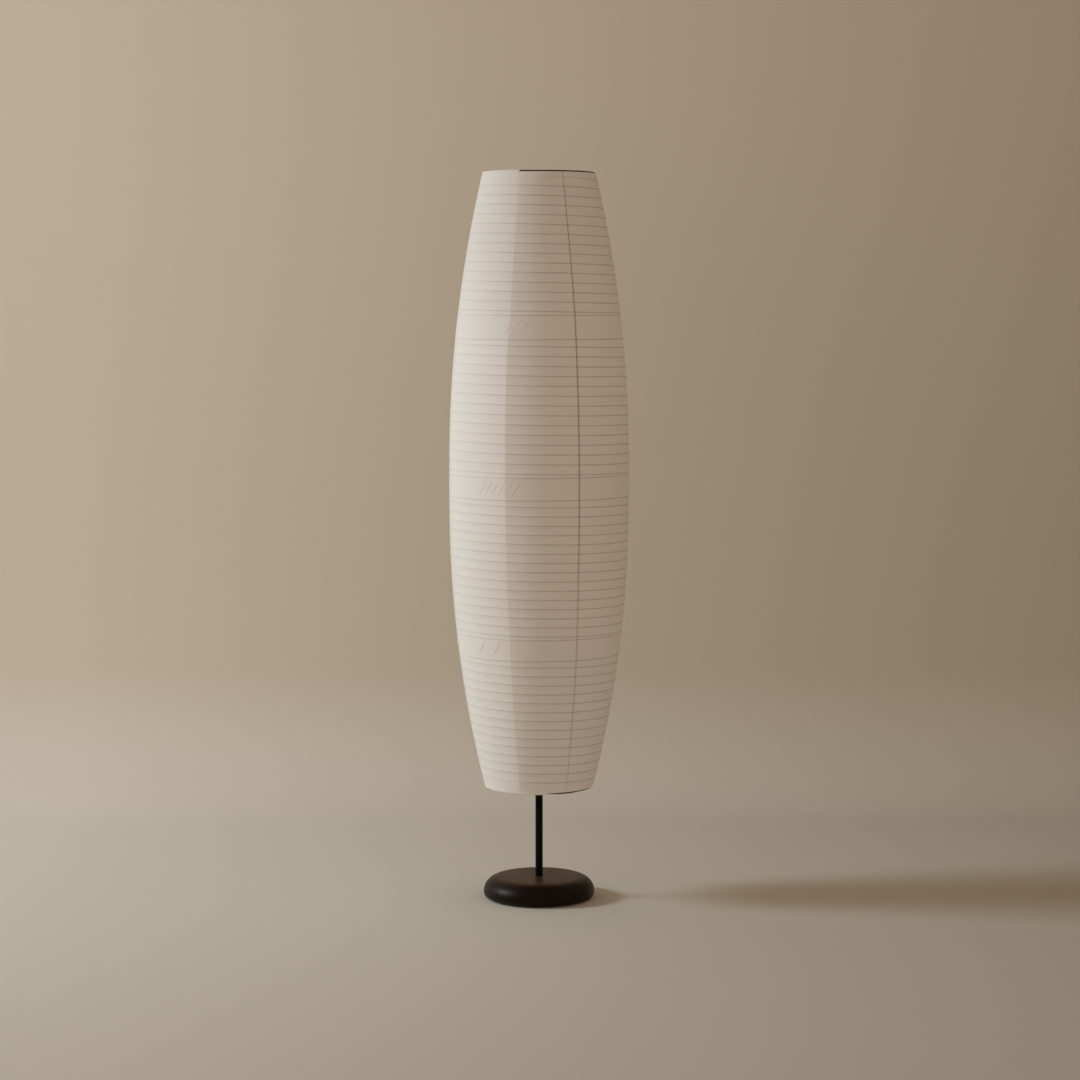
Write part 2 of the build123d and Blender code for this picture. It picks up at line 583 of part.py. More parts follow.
# Bulb globe: opal dome, open where it sits on the housing
with BuildPart() as bulb_globe:
    globe_centre_z = BULB_GLOBE_Z + sqrt(BULB_GLOBE_RADIUS**2 - BULB_HOUSING_RADIUS**2)
    with BuildSketch(Plane.XZ):
        with Locations((0, globe_centre_z)):
            Circle(BULB_GLOBE_RADIUS)
            Circle(BULB_GLOBE_RADIUS - BULB_GLOBE_WALL, mode=Mode.SUBTRACT)
        with Locations((-BULB_GLOBE_RADIUS, globe_centre_z)):
            Rectangle(2 * BULB_GLOBE_RADIUS, 2 * BULB_GLOBE_RADIUS, mode=Mode.SUBTRACT)
        with Locations((0, BULB_GLOBE_Z)):
            Rectangle(
                2 * BULB_GLOBE_RADIUS,
                2 * BULB_GLOBE_RADIUS,
                align=(Align.CENTER, Align.MAX),
                mode=Mode.SUBTRACT,
            )
    revolve(axis=Axis.Z)
keep(bulb_globe.part, "bulb_globe")

# Paper shade: thin barrel, open at both ends
with BuildPart() as paper_shade:
    with BuildSketch(Plane.XZ):
        with BuildLine():
            paper_foot_z = SHADE_FOOT_Z + RIM_SHOW
            paper_top_z = LAMP_HEIGHT - RIM_SHOW
            belly_low = (SHADE_BELLY_RADIUS, BELLY_LOW_Z)
            belly_high = (SHADE_BELLY_RADIUS, BELLY_HIGH_Z)
            TangentArc(belly_low, (shade_radius(paper_foot_z), paper_foot_z), tangent=(0, -1))
            Line(belly_low, belly_high)
            TangentArc(belly_high, (shade_radius(paper_top_z), paper_top_z), tangent=(0, 1))
            offset(amount=PAPER_THICKNESS, side=Side.RIGHT)
        make_face()
    revolve(axis=Axis.Z)
keep(paper_shade.part, "paper_shade")


def coil_drops(half_turns, height):
    """Drop over each half turn of a coil: level at both ends, eased beside them, steady between."""
    shares = [1.0] * half_turns
    shares[0] = 0.0
    shares[1] = RIB_EASE_SHARES[0]
    shares[-2] = RIB_EASE_SHARES[1]
    shares[-1] = 0.0
    return [height * share / sum(shares) for share in shares]


def coil_path(top_z, foot_z, start_angle, half_turns):
    """Function from turns, counted from the top, to a point on the coil's centre line."""
    levels = [top_z]
    for drop in coil_drops(half_turns, top_z - foot_z):
        levels.append(levels[-1] - drop)

    def point(turns):
        step = min(max(int(2 * turns), 0), half_turns - 1)
        z = levels[step] + (levels[step + 1] - levels[step]) * min(max(2 * turns - step, 0), 1)
        return polar(wire_radius(z, RIB_WIRE), start_angle + 360 * turns, z)

    return point


def biarc(start, start_way, end, end_way):
    """Middle point and middle direction of the two arcs that join two points and directions."""
    span = end - start
    both = start_way + end_way
    bend = 2 * (1 - start_way.dot(end_way))
    along = span.dot(both)
    reach = (sqrt(along**2 + bend * span.dot(span)) - along) / bend
    middle_way = (end - end_way * reach) - (start + start_way * reach)
    return (start + end + (start_way - end_way) * reach) * 0.5, middle_way.normalized()


def least_gap(point, turns, steps=36):
    """Least gap between the coil's own turns, measured on points along it."""
    points = [point(step / steps) for step in range(int(turns * steps) + 1)]
    gaps = [
        (points[later] - points[first]).length - RIB_WIRE
        for first in range(len(points))
        for later in range(first + steps // 2, min(first + 2 * steps, len(points)))
    ]
    return min(gaps)


def rib_coil(name, top_z, foot_z, start_angle, turns):
    """One wire coil: an unbroken tube that falls from left to right across the front."""
    half_turns = int(2 * turns)
    point = coil_path(top_z, foot_z, start_angle, half_turns)
    nodes = [point(step / 2) for step in range(half_turns + 1)]
    nudge = 0.02
    ways = [point(step / 2 + nudge) - point(step / 2 - nudge) for step in range(half_turns + 1)]
    ways = [way.normalized() for way in ways]
    with BuildPart() as coil:
        with BuildLine() as centre_line:
            for step in range(half_turns):
                middle, middle_way = biarc(nodes[step], ways[step], nodes[step + 1], ways[step + 1])
                TangentArc(nodes[step], middle, tangent=ways[step])
                TangentArc(middle, nodes[step + 1], tangent=middle_way)
        with BuildSketch(Plane(nodes[0], z_dir=ways[0])):
            Circle(RIB_RADIUS)
        sweep(path=centre_line.line)
    swept = pi * RIB_RADIUS**2 * sum(edge.length for edge in centre_line.edges())
    print(f"{name}: {turns} turns, least gap {least_gap(point, turns):.2f} mm")
    print(f"{name}: volume {coil.part.volume:.1f}, section times length {swept:.1f}")
    keep(coil.part, name)


# Rib coils: four of them, from the top ring down, with the plain bands between
bands = list(zip(BAND_CENTRES_Z, BAND_HEIGHTS))
coil_tops = [LAMP_HEIGHT - RING_WIRE - RIB_ROOM] + [centre - height / 2 for centre, height in bands]
coil_feet = [centre + height / 2 for centre, height in bands] + [SHADE_FOOT_Z + RING_WIRE + RIB_ROOM]
coils = zip(coil_tops, coil_feet, RIB_START_ANGLES, RIB_TURNS)
for number, (top_z, foot_z, start_angle, turns) in enumerate(coils, 1):
    rib_coil(f"rib_coil_{number}", top_z, foot_z, start_angle, turns)
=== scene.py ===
"""Paper floor lamp: the looks of its shade, wire coils and stand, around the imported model.

Metres. Angles round the lamp are in degrees from the front, growing towards the right.
"""

import json
from math import ceil, cos, degrees, pi, radians, sin, sqrt

import bmesh
import bpy
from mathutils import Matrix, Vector


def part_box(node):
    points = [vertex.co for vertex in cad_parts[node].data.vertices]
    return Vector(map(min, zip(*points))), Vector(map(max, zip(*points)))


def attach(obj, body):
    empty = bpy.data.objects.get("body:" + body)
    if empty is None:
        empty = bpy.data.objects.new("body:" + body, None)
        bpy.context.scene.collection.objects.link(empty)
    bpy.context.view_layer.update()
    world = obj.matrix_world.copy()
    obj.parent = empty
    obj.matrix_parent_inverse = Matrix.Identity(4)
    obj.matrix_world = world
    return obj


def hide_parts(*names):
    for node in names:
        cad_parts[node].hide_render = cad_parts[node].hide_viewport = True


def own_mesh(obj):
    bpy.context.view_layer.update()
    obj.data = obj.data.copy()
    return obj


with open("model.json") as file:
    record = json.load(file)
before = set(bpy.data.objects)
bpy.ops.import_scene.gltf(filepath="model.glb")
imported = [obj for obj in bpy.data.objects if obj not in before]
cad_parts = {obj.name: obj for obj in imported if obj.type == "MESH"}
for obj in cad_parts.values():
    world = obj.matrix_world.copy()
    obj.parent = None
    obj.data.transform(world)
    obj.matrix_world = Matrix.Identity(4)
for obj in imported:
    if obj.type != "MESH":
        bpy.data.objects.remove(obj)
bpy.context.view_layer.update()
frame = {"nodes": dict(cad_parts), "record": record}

MM = 0.001

# Camera, from the photograph's viewing angle
CAMERA_PLACE = (0.0015, -4.450, 0.968)
CAMERA_DOWN_TILT = 4.944
CAMERA_LENS = 92.55
CAMERA_SENSOR = 36.0

# Lamp, light all round, and stage
KEY_SIDE_ANGLE = -87.5
KEY_ELEVATION = 24.4
KEY_DISTANCE = 7.0
KEY_WIDTH = 1.9
KEY_HEIGHT = 1.5
KEY_SPREAD = 70.0
KEY_POWER = 33.0
KEY_COLOUR = (0.83, 1.0, 1.13)
WORLD_SIDE_COLOUR = (0.838, 0.66, 0.537)
WORLD_TOP_COLOUR = (0.084, 0.066, 0.054)
WORLD_SEEN_COLOUR = (0.34, 0.285, 0.235)
STAGE_HALF_WIDTH = 7.0
STAGE_FRONT_Y = -7.0
STAGE_BEND_Y = 0.68
STAGE_BEND_RADIUS = 0.25
STAGE_BEND_STEPS = 24
STAGE_HEIGHT = 6.0
# Painted shade: the stage is painted darker towards the right, away from the lamp.
STAGE_LEFT_COLOUR = (0.85, 0.80, 0.70)
STAGE_RIGHT_COLOUR = (0.55, 0.50, 0.40)
STAGE_FADE_X = (-0.9, 1.1)
AIM_HEIGHT = 0.60

# Shade outline: two rims, and an upright belly between two arcs
TOP_RADIUS = 90.0 * MM
FOOT_RADIUS = 87.5 * MM
BELLY_LOW_Z = 640.0 * MM
BELLY_HIGH_Z = 705.0 * MM
PAPER = 0.4 * MM
RING_WIRE = 4.0 * MM

# Shade: one wrapped sheet with soft gores, whose edges overlap at the seam
SEAM_ANGLE = 25.2
SEAM_LEANS = ((200.0, 3.1), (320.0, 1.8), (570.0, 0.3), (940.0, -0.2), (1160.0, -1.8))
# Seam's dark line by height: partly glue, partly painted shadow beside the lapped edge.
SEAM_GLUE_AND_SHADOW = (
    (190.0, 0.16), (300.0, 0.3), (480.0, 0.36), (620.0, 0.85),
    (1100.0, 0.95), (1150.0, 0.8), (1163.0, 0.4),
)
SEAM_LAP = 3.0
SEAM_LAP_SHARES = (1.0, 0.6, 0.2)
SEAM_LIFT = 0.9 * MM
SEAM_TUCK = 1.4 * MM
SEAM_WIDTH = 0.7
GORE_EDGE_ANGLE = 339.0
EVEN_GORES = 6
GORE_COLUMNS = 20
GORE_SEAM = 0.15
GORE_EVEN_SHARE = 0.45
GORE_DEPTHS = (
    (186.0, 0.0), (210.0, 0.7), (450.0, 1.0), (580.0, 1.1), (680.0, 2.0),
    (880.0, 2.0), (980.0, 1.3), (1130.0, 1.3), (1168.0, 0.0),
)
GORE_LEANS = ((400.0, 1.0), (580.0, 0.1), (700.0, -0.4), (870.0, -0.4), (960.0, 1.2), (1120.0, 1.6))
LEAN_REACH = 40.0
GORE_REST = 0.2
# Painted light: how much lighter each gore's paper is painted, most on the gore that faces the lamp.
GORE_PAINTED_LIGHT = (0.7, 0.75, 0.6, 0.75, 0.55, 1.0, 0.5)
# Painted shade: the painted lighter tone drops from this height towards the upper rim.
TONE_FADE_Z = 850.0 * MM
TONE_FADE = 300.0 * MM
TONE_DROP = 0.8

# Shade: wires that show through the paper, as lines of painted shadow
RIB_WIRE = 1.2 * MM
RIB_PITCH = 15.0 * MM
RIB_TURNS = (16.0, 15.5, 16.5, 16.0)
RIB_STARTS = (90.0, 270.0, 270.0, 270.0)
RIB_EASE_SHARES = (0.9, 0.3)
RIB_SEAT = 1.6 * MM
RIB_SHOULDER = 1.3 * MM
RIB_SHOULDER_MOST = 0.22
RIB_RIDGE = 0.18 * MM
RIB_ROOM = 8.0 * MM
RIB_FADE_TURNS = 0.02
RIB_CONTRAST = 0.48
RIB_CONTRAST_LOSS = 0.32
BAND_ROWS = 10
RIM_HIDES = 8.0 * MM
RIM_FADE = 6.0 * MM
PAPER_SAG = 0.28 * MM
TUBE_SIDES = 6
TUBE_STEPS = 96

# Hems: paper turned over part of each ring
TOP_HEM = (155.0, 344.0)
FOOT_HEM = (130.0, 415.0)
TOP_SLANT = 7.0
FOOT_SLANT = 75.0
HEM_PROUD = 0.3 * MM
HEM_TUCK = 0.1 * MM
HEM_CAP = 2.55 * MM
HEM_SKIRT = 12.0 * MM
HEM_SKIRT_SHARE = 0.3
HEM_END_SHARE = 0.8
HEM_OVER = 200.0
HEM_POINTS = 24
HEM_STEP = 2.0
# Painted light on the hems, as on the gores.
HEM_PAINTED_LIGHT = 0.7
HEM_HIDES = 18.0 * MM
HEM_LINE_FADE = 20.0

# Creases: one pinch of slanting folds in each plain band, with first and last angle, folds and slant
PINCHES = ((-24.0, -13.0, 3, 8.0), (-41.0, -17.0, 6, 6.5), (-47.0, -34.0, 2, 7.0))
PINCH_FOOT = 0.2
PINCH_HEAD = 0.9
FOLD_STEP = 1.3
# Valleys get painted shade and ridges a painted highlight.
VALLEY_WIDTH = 2.6 * MM
VALLEY_PAINTED_SHADE = -0.26
RIDGE_WIDTH = 3.0 * MM
RIDGE_PAINTED_HIGHLIGHT = 0.9
CREASE_STEPS = 14
CREASE_TIP = 0.08
CREASE_TAPER = 0.7
CREASE_RISE = 0.14 * MM
CREASE_SECTION = ((-1.0, -1.4), (-0.25, 0.8), (0.25, 1.0), (1.0, -1.4), (0.0, -3.5))

BELLY_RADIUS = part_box("paper_shade")[1].x
TOP_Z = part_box("top_spider")[1].z
FOOT_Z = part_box("bottom_ring")[0].z
SHEET_TOP_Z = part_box("paper_shade")[1].z
SHEET_FOOT_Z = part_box("paper_shade")[0].z
TOP_RING_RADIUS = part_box("top_spider")[1].x - RING_WIRE / 2
FOOT_RING_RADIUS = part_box("bottom_ring")[1].x - RING_WIRE / 2


def arc_radius(rise, sag):
    """Radius of the arc that leaves the belly upright and draws in by sag over that rise."""
    return (rise**2 + sag**2) / (2 * sag)


UPPER_ARC = arc_radius(TOP_Z - BELLY_HIGH_Z, BELLY_RADIUS - TOP_RADIUS)
LOWER_ARC = arc_radius(BELLY_LOW_Z - FOOT_Z, BELLY_RADIUS - FOOT_RADIUS)


def shade_radius(z):
    """Outer radius of the shade at a height."""
    if z > BELLY_HIGH_Z:
        return BELLY_RADIUS - UPPER_ARC + sqrt(UPPER_ARC**2 - (z - BELLY_HIGH_Z) ** 2)
    if z < BELLY_LOW_Z:
        return BELLY_RADIUS - LOWER_ARC + sqrt(LOWER_ARC**2 - (BELLY_LOW_Z - z) ** 2)
    return BELLY_RADIUS


def at(angle, radius, z):
    """Point at an angle round from the front, a radius and a height."""
    turn = radians(angle)
    return Vector((radius * sin(turn), -radius * cos(turn), z))


def clamp(value):
    return min(max(value, 0.0), 1.0)


def ease(value):
    """Smooth step from 0 to 1."""
    share = clamp(value)
    return share * share * (3 - 2 * share)


def between(stops, z):
    """Value at a height, eased between stops, each a height in millimetres and a value."""
    if z <= stops[0][0] * MM:
        return stops[0][1]
    for (low, first), (high, second) in zip(stops, stops[1:]):
        if z <= high * MM:
            return first + (second - first) * ease((z / MM - low) / (high - low))
    return stops[-1][1]


# Materials


class Nodes:
    """A material's nodes, with short calls for the ones used here."""

    def __init__(self, name):
        self.material = bpy.data.materials.new(name)
        self.material.use_nodes = True
        self.tree = self.material.node_tree
        self.shader = self.tree.nodes["Principled BSDF"]
        self.place = self.add("ShaderNodeTexCoord").outputs["Object"]

    def add(self, kind):
        return self.tree.nodes.new(kind)

    def link(self, output, socket):
        self.tree.links.new(output, socket)

    def noise(self, scale, detail=3.0, stretch=(1, 1, 1)):
        """Noise over the object's own coordinates, stretched along an axis where asked."""
        mapping = self.add("ShaderNodeMapping")
        mapping.inputs["Scale"].default_value = stretch
        self.link(self.place, mapping.inputs["Vector"])
        texture = self.add("ShaderNodeTexNoise")
        texture.inputs["Scale"].default_value = scale
        texture.inputs["Detail"].default_value = detail
        self.link(mapping.outputs["Vector"], texture.inputs["Vector"])
        return texture.outputs["Fac"]

    def spread(self, value, low, high, start=0.3, end=0.7):
        """Value from start to end, taken to low to high."""
        node = self.add("ShaderNodeMapRange")
        node.inputs["From Min"].default_value = start
        node.inputs["From Max"].default_value = end
        node.inputs["To Min"].default_value = low
        node.inputs["To Max"].default_value = high
        self.link(value, node.inputs["Value"])
        return node.outputs["Result"]

    def mix(self, share, first, second):
        """Mix of two colours, each an output or a colour."""
        node = self.add("ShaderNodeMix")
        node.data_type = "RGBA"
        self.link(share, node.inputs["Factor"])
        for colour, socket in ((first, node.inputs[6]), (second, node.inputs[7])):
            if isinstance(colour, tuple):
                socket.default_value = (*colour, 1.0)
            else:
                self.link(colour, socket)
        return node.outputs[2]

    def attribute(self, name, strength):
        """A vertex attribute times a strength."""
        source = self.add("ShaderNodeAttribute")
        source.attribute_name = name
        return self.spread(source.outputs["Fac"], 0.0, strength, 0.0, 1.0)

    def bump(self, height, strength, distance):
        node = self.add("ShaderNodeBump")
        node.inputs["Strength"].default_value = strength
        node.inputs["Distance"].default_value = distance
        self.link(height, node.inputs["Height"])
        self.link(node.outputs["Normal"], self.shader.inputs["Normal"])

    def set(self, **values):
        """Constant values on the shader, by the socket's name with underscores."""
        for name, value in values.items():
            self.shader.inputs[name.replace("_", " ")].default_value = value


def paper_material():
    """Matt white paper: fine fibres, slow clouds, a painted lighter tone where light falls, wires that
    show through as painted shadow lines, and a glued seam whose dark line is glue and painted shadow.
    """
    nodes = Nodes("shade_paper")
    fibres = nodes.noise(420.0, 6.0, (1.0, 1.0, 2.4))
    clouds = nodes.noise(9.0, 2.0)
    paper = nodes.mix(nodes.spread(clouds, 0.0, 1.0), (0.745, 0.710, 0.650), (0.718, 0.683, 0.620))
    # Painted light: the tone attribute lightens the paper, most on the gore that faces the lamp and on
    # crease ridges.
    paper = nodes.mix(nodes.attribute("tone", 1.0), paper, (0.858, 0.828, 0.773))
    paper = nodes.mix(nodes.spread(fibres, 0.0, 0.10), paper, (0.620, 0.570, 0.500))
    # Painted shadow: dark lines where the wires block light through the paper, and in crease valleys.
    paper = nodes.mix(nodes.attribute("painted_shadow", 1.0), paper, (0.225, 0.170, 0.125))
    # Seam's dark line: partly glue, partly painted shadow beside the lapped edge.
    paper = nodes.mix(nodes.attribute("seam", 0.85), paper, (0.190, 0.145, 0.105))
    nodes.link(paper, nodes.shader.inputs["Base Color"])
    nodes.link(nodes.spread(fibres, 0.80, 0.92), nodes.shader.inputs["Roughness"])
    nodes.bump(fibres, 0.12, 0.2 * MM)
    nodes.set(Specular_IOR_Level=0.25)
    return nodes.material


def plain_finish(name, colour, shade, scale, roughness, bump, stretch=(1, 1, 1), **values):
    """A finish of two close colours, with roughness and fine relief from the same noise."""
    nodes = Nodes(name)
    grain = nodes.noise(scale, 4.0, stretch)
    patches = nodes.noise(22.0, 2.0)
    tone = nodes.mix(nodes.spread(grain, 0.0, 1.0), colour, shade)
    tone = nodes.mix(nodes.spread(patches, 0.0, 0.5), tone, shade)
    nodes.link(tone, nodes.shader.inputs["Base Color"])
    nodes.link(nodes.spread(patches, roughness - 0.05, roughness + 0.05), nodes.shader.inputs["Roughness"])
    nodes.bump(grain, bump, 0.1 * MM)
    nodes.set(**values)
    return nodes.material


def base_material():
    """Dark brown lacquer with a soft gloss; its level top is painted paler and warmer, a painted sheen of
    light that grazes it.
    """
    nodes = Nodes("base_brown")
    grain = nodes.noise(1100.0, 4.0)
    patches = nodes.noise(22.0, 2.0)
    axes = nodes.add("ShaderNodeSeparateXYZ")
    nodes.link(nodes.add("ShaderNodeNewGeometry").outputs["Normal"], axes.inputs["Vector"])
    lacquer = nodes.mix(nodes.spread(grain, 0.0, 1.0), (0.0034, 0.0010, 0.0004), (0.0026, 0.0008, 0.0003))
    # Painted sheen: the level top is painted paler and warmer, as light grazing it looks.
    painted_top_sheen = nodes.mix(nodes.spread(patches, 0.0, 1.0), (0.046, 0.021, 0.010), (0.038, 0.017, 0.008))
    tone = nodes.mix(nodes.spread(axes.outputs["Z"], 0.0, 1.0, 0.80, 1.0), lacquer, painted_top_sheen)
    nodes.link(tone, nodes.shader.inputs["Base Color"])
    nodes.link(nodes.spread(patches, 0.37, 0.45), nodes.shader.inputs["Roughness"])
    nodes.bump(grain, 0.07, 0.1 * MM)
    nodes.set(Specular_IOR_Level=0.21, Specular_Tint=(1.0, 0.82, 0.70, 1.0))
    nodes.set(Sheen_Weight=0.03, Sheen_Roughness=0.3, Sheen_Tint=(1.0, 0.72, 0.5, 1.0))
    return nodes.material


FINISHES = {
    "shade_paper": paper_material(),
    "rib_wire": plain_finish("rib_wire", (0.46, 0.41, 0.34), (0.38, 0.33, 0.27), 900.0, 0.5, 0.05),
    "frame_black": plain_finish(
        "frame_black", (0.012, 0.009, 0.007), (0.008, 0.006, 0.005), 700.0, 0.45, 0.08,
        Specular_IOR_Level=0.25,
    ),
    "pole_black": plain_finish(
        "pole_black", (0.0035, 0.0033, 0.0032), (0.0025, 0.0023, 0.0022), 900.0, 0.42, 0.06,
        Specular_IOR_Level=0.1,
    ),
    "base_brown": base_material(),
    "weight_iron": plain_finish(
        "weight_iron", (0.085, 0.080, 0.078), (0.045, 0.042, 0.040), 240.0, 0.62, 0.5, Metallic=0.6
    ),
    "plate_steel": plain_finish(
        "plate_steel", (0.022, 0.020, 0.018), (0.015, 0.013, 0.012), 500.0, 0.6, 0.15
    ),
    "bright_steel": plain_finish(
        "bright_steel", (0.58, 0.57, 0.55), (0.47, 0.46, 0.44), 160.0, 0.32, 0.1, (1, 1, 14), Metallic=1.0
    ),
    "pad_felt": plain_finish("pad_felt", (0.030, 0.026, 0.023), (0.012, 0.010, 0.009), 1600.0, 0.95, 0.9),
    "black_rubber": plain_finish(
        "black_rubber", (0.012, 0.012, 0.012), (0.007, 0.007, 0.007), 800.0, 0.68, 0.2
    ),
    "finial_brass": plain_finish(
        "finial_brass", (0.56, 0.38, 0.15), (0.43, 0.28, 0.10), 120.0, 0.28, 0.12, (1, 1, 18), Metallic=1.0
    ),
    "contact_brass": plain_finish(
        "contact_brass", (0.62, 0.43, 0.17), (0.50, 0.33, 0.12), 300.0, 0.3, 0.1, (8, 1, 1), Metallic=1.0
    ),
    "holder_black": plain_finish(
        "holder_black", (0.013, 0.013, 0.013), (0.008, 0.008, 0.008), 1200.0, 0.5, 0.15
    ),
    "holder_ceramic": plain_finish(
        "holder_ceramic", (0.74, 0.72, 0.66), (0.62, 0.59, 0.53), 500.0, 0.72, 0.25
    ),
    "bulb_white": plain_finish("bulb_white", (0.76, 0.75, 0.72), (0.70, 0.69, 0.66), 900.0, 0.45, 0.08),
    "bulb_opal": plain_finish(
        "bulb_opal", (0.84, 0.82, 0.77), (0.79, 0.77, 0.72), 300.0, 0.3, 0.03,
        Coat_Weight=0.4, Coat_Roughness=0.15,
    ),
}

for part in frame["record"]["subparts"]:
    frame["nodes"][part["node"]].data.materials.clear()
    frame["nodes"][part["node"]].data.materials.append(FINISHES[part["material_slot"]])


# Pieces


def add_piece(name, points, faces, slot, body):
    """A closed smooth mesh with a finish, riding on a body."""
    mesh = bpy.data.meshes.new(name)
    mesh.from_pydata(points, [], faces)
    work = bmesh.new()
    work.from_mesh(mesh)
    bmesh.ops.recalc_face_normals(work, faces=work.faces)
    work.to_mesh(mesh)
    work.free()
    mesh.shade_smooth()
    mesh.materials.append(FINISHES[slot])
    piece = bpy.data.objects.new(name, mesh)
    bpy.context.scene.collection.objects.link(piece)
    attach(piece, body)
    return piece


def add_values(piece, name, values):
    """A named value for each of the piece's points, for its material to read."""
    layer = piece.data.attributes.new(name, "FLOAT", "POINT")
    layer.data.foreach_set("value", values)


def collapse(piece):
    """Gives the piece a mesh of its own."""
    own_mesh(piece)


def tube_faces(rings, sides):
    """Faces of a tube of rings, with both ends closed."""
    faces = []
    for ring in range(rings - 1):
        for side in range(sides):
            after = (side + 1) % sides
            low, high = ring * sides, (ring + 1) * sides
            faces.append((low + side, low + after, high + after, high + side))
    faces.append(tuple(range(sides)))
    faces.append(tuple(reversed(range((rings - 1) * sides, rings * sides))))
    return faces


class Coil:
    """One wire coil: its turns, its start angle and its height at each half turn."""

    def __init__(self, number):
        self.node = f"rib_coil_{number}"
        self.turns = RIB_TURNS[number - 1]
        self.start = RIB_STARTS[number - 1]
        low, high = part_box(self.node)
        top_z = high.z - RIB_WIRE / 2
        foot_z = low.z + RIB_WIRE / 2
        half_turns = int(2 * self.turns)
        shares = [0.0, RIB_EASE_SHARES[0]] + [1.0] * (half_turns - 4) + [RIB_EASE_SHARES[1], 0.0]
        self.levels = [top_z]
        for share in shares:
            self.levels.append(self.levels[-1] - (top_z - foot_z) * share / sum(shares))

    def height(self, turns):
        """Height after some turns, counted from the top; past its ends the line runs on a little."""
        steps = min(max(2 * turns, 0.0), 2 * self.turns)
        step = min(int(steps), len(self.levels) - 2)
        level = self.levels[step] + (self.levels[step + 1] - self.levels[step]) * (steps - step)
        return level - (turns - steps / 2) * RIB_ROOM

    def crossings(self, angle):
        """Height and strength of each line of the coil at an angle between the seam and the seam."""
        first = -ceil((SEAM_ANGLE + 360 - self.start) / 360) + 1
        last = ceil(self.turns - (SEAM_ANGLE - SEAM_LAP - self.start) / 360)
        lines = []
        for loop in range(first, last):
            turns = (angle - self.start) / 360 + loop
            beyond = max(-turns, turns - self.turns, 0.0)
            lines.append((self.height(turns), clamp(1 - beyond / RIB_FADE_TURNS)))
        return lines


COILS = [Coil(number + 1) for number in range(len(RIB_TURNS))]


def make_coil(coil):
    """The wire itself, as one unbroken tube just inside the paper."""
    points = []
    rings = int(coil.turns * TUBE_STEPS) + 1
    for ring in range(rings):
        turns = ring / TUBE_STEPS
        z = coil.height(turns)
        for side in range(TUBE_SIDES):
            turn = 2 * pi * side / TUBE_SIDES
            out = shade_radius(z) - RIB_SEAT + RIB_WIRE / 2 * cos(turn)
            points.append(at(coil.start + 360 * turns, out, z + RIB_WIRE / 2 * sin(turn)))
    wire = add_piece(f"{coil.node}_wire", points, tube_faces(rings, TUBE_SIDES), "rib_wire", "stand")
    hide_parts(coil.node)
    collapse(wire)


for coil in COILS:
    make_coil(coil)


def gore_edges():
    """Angles of the gores' edges, from the seam round to the seam."""
    step = (GORE_EDGE_ANGLE - SEAM_ANGLE) / EVEN_GORES
    return [SEAM_ANGLE + step * count for count in range(EVEN_GORES + 1)] + [SEAM_ANGLE + 360]


def paper_radius(angle, z):
    """Outer radius of the paper, which stands off its wires most along the gores' edges."""
    turn = SEAM_ANGLE + (angle - SEAM_ANGLE) % 360
    edges = gore_edges()
    low, high = next(pair for pair in zip(edges, edges[1:]) if turn <= pair[1])
    lift = (1 - 2 * (turn - low) / (high - low)) ** 2 - GORE_REST
    return shade_radius(z) + lift * between(GORE_DEPTHS, z) * MM


def lean(angle, z):
    """Angle by which the sheet leans round the lamp at a height, near its seam and one gore edge."""
    from_seam = min(abs(angle - SEAM_ANGLE), abs(SEAM_ANGLE + 360 - angle))
    from_gore = abs(angle - GORE_EDGE_ANGLE)
    seam_share = ease(1 - from_seam / LEAN_REACH)
    gore_share = ease(1 - from_gore / LEAN_REACH)
    return between(SEAM_LEANS, z) * seam_share + between(GORE_LEANS, z) * gore_share


def paper_columns():
    """Columns of the sheet: angle, lift at the seam, seam line (glue and painted shadow) and painted light
    tone.
    """
    columns = []
    for share in SEAM_LAP_SHARES:
        columns.append((SEAM_ANGLE - SEAM_LAP * share, -SEAM_TUCK * share, 0.0, 0.0))
    columns.append((SEAM_ANGLE, 0.0, 1.0, 0.0))
    columns.append((SEAM_ANGLE + SEAM_WIDTH, 0.0, 0.0, 0.0))
    edges = gore_edges()
    for low, high, tone in zip(edges, edges[1:], GORE_PAINTED_LIGHT):
        for count in range(GORE_COLUMNS + 1):
            share = count / GORE_COLUMNS
            share = GORE_EVEN_SHARE * share + (1 - GORE_EVEN_SHARE) * (1 - cos(pi * share)) / 2
            angle = low + (high - low - GORE_SEAM) * share
            if edges[0] + SEAM_WIDTH < angle < edges[-1] - SEAM_WIDTH:
                lift = SEAM_LIFT * ease((angle - edges[-1] + 2 * SEAM_LAP) / (2 * SEAM_LAP))
                columns.append((angle, lift, 0.0, tone))
    columns.append((edges[-1] - SEAM_WIDTH, SEAM_LIFT, 0.0, GORE_PAINTED_LIGHT[-1]))
    columns.append((edges[-1], SEAM_LIFT, 1.0, GORE_PAINTED_LIGHT[-1]))
    return columns


